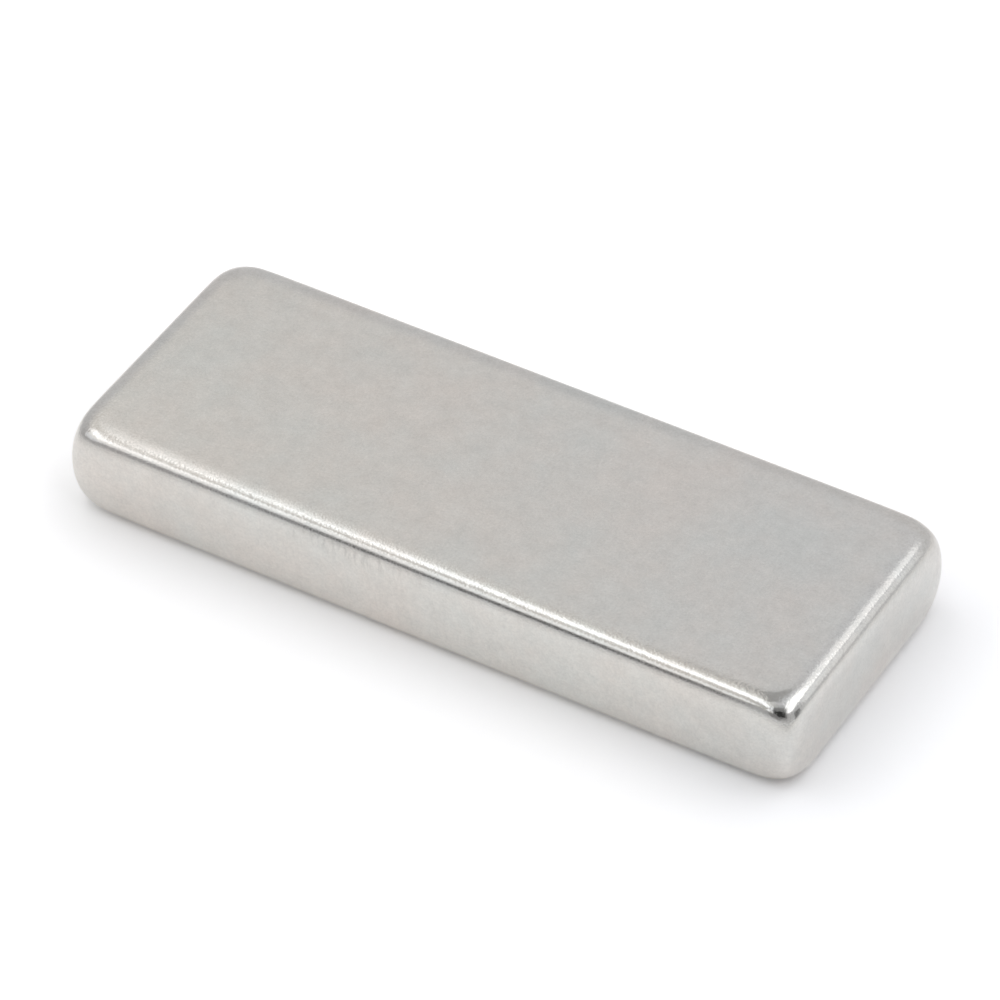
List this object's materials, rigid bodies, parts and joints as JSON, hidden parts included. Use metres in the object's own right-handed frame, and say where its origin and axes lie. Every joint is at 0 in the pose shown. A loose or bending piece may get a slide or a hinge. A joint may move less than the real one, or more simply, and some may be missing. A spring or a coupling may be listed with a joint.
{
  "type": "block magnet",
  "caption": "Flat rectangular bar magnet with a satin metal plating and tumbled, rounded edges and corners, for holding, closing or sensing.",
  "frame": {"origin": "centre of the lower pole face", "axes": "+X along the length, +Y across the width, +Z through the thickness, towards the upper pole face"},
  "size_m": [0.04, 0.015, 0.005],
  "materials": {
    "nickel_plating": "satin nickel plating over a tumbled, finely pebbled surface"
  },
  "bodies": {
    "root": {"block_magnet": "nickel_plating"}
  },
  "joints": []
}
